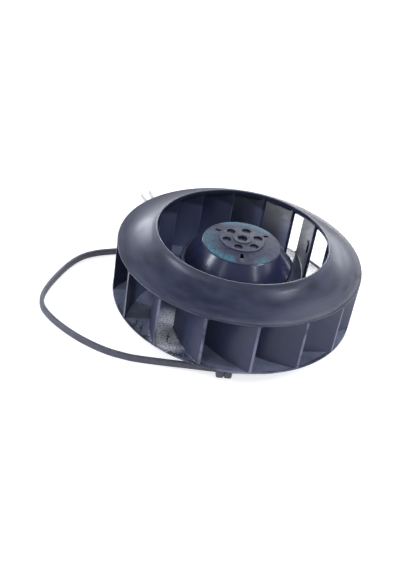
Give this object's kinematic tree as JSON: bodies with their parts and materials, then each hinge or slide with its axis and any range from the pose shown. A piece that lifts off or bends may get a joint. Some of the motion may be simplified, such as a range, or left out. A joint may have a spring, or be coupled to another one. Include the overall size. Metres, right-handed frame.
{
  "type": "centrifugal fan",
  "caption": "Backward-curved centrifugal fan wheel with a trumpet inlet shroud, turned by an external-rotor motor in its eye, with a flange below and a short flat cord.",
  "frame": {"origin": "on the shaft axis at the motor flange's mounting face, where the part stands", "axes": "+Z along the shaft towards the air inlet; -Y is the side seen in the picture"},
  "size_m": [0.2806, 0.3006, 0.0826],
  "materials": {
    "wheel_plastic": "satin moulded glass-filled nylon",
    "rotor_enamel": "gloss black enamel with a grey crown",
    "core_steel": "stacked laminations",
    "cage_aluminium": "die cast",
    "turned_steel": "turned",
    "spring_steel": "blackened",
    "bearing_steel": "ground",
    "flange_casting": "die cast",
    "insulator_nylon": "moulded",
    "enamelled_copper": "enamelled wire",
    "cap_steel": "pressed sheet",
    "gland_rubber": "moulded",
    "cord_jacket": "extruded",
    "left_core_jacket": "extruded",
    "right_core_jacket": "extruded",
    "end_sleeve": "moulded"
  },
  "bodies": {
    "stator": {"stator_flange": "flange_casting", "stator_core": "core_steel", "upper_insulator": "insulator_nylon", "lower_insulator": "insulator_nylon", "stator_winding": "enamelled_copper", "upper_bearing_outer_ring": "bearing_steel", "lower_bearing_outer_ring": "bearing_steel", "upper_bearing_balls": "bearing_steel", "lower_bearing_balls": "bearing_steel", "preload_washer": "spring_steel", "bearing_cap": "cap_steel", "cable_gland": "gland_rubber", "motor_cord": "cord_jacket", "cord_grommet": "gland_rubber", "left_core_tail": "left_core_jacket", "right_core_tail": "right_core_jacket", "left_end_sleeve": "end_sleeve", "right_end_sleeve": "end_sleeve"},
    "rotor": {"impeller_backplate": "wheel_plastic", "inlet_shroud": "wheel_plastic", "rotor_cup": "rotor_enamel", "rotor_core": "core_steel", "upper_cage_ring": "cage_aluminium", "lower_cage_ring": "cage_aluminium", "rotor_hub": "turned_steel", "rotor_shaft": "turned_steel", "shaft_circlip": "spring_steel", "balance_weight": "spring_steel", "upper_bearing_inner_ring": "bearing_steel", "lower_bearing_inner_ring": "bearing_steel", "blade_01": "wheel_plastic", "blade_02": "wheel_plastic", "blade_03": "wheel_plastic", "blade_04": "wheel_plastic", "blade_05": "wheel_plastic", "blade_06": "wheel_plastic", "blade_07": "wheel_plastic", "blade_08": "wheel_plastic", "blade_09": "wheel_plastic", "blade_10": "wheel_plastic", "blade_11": "wheel_plastic", "blade_12": "wheel_plastic", "blade_13": "wheel_plastic", "blade_14": "wheel_plastic", "blade_15": "wheel_plastic", "blade_16": "wheel_plastic"}
  },
  "joints": [
    {"name": "impeller_spin", "type": "hinge", "parent": "stator", "child": "rotor", "pos_m": [0, 0, 0], "axis": [0, 0, 1], "continuous": true}
  ]
}
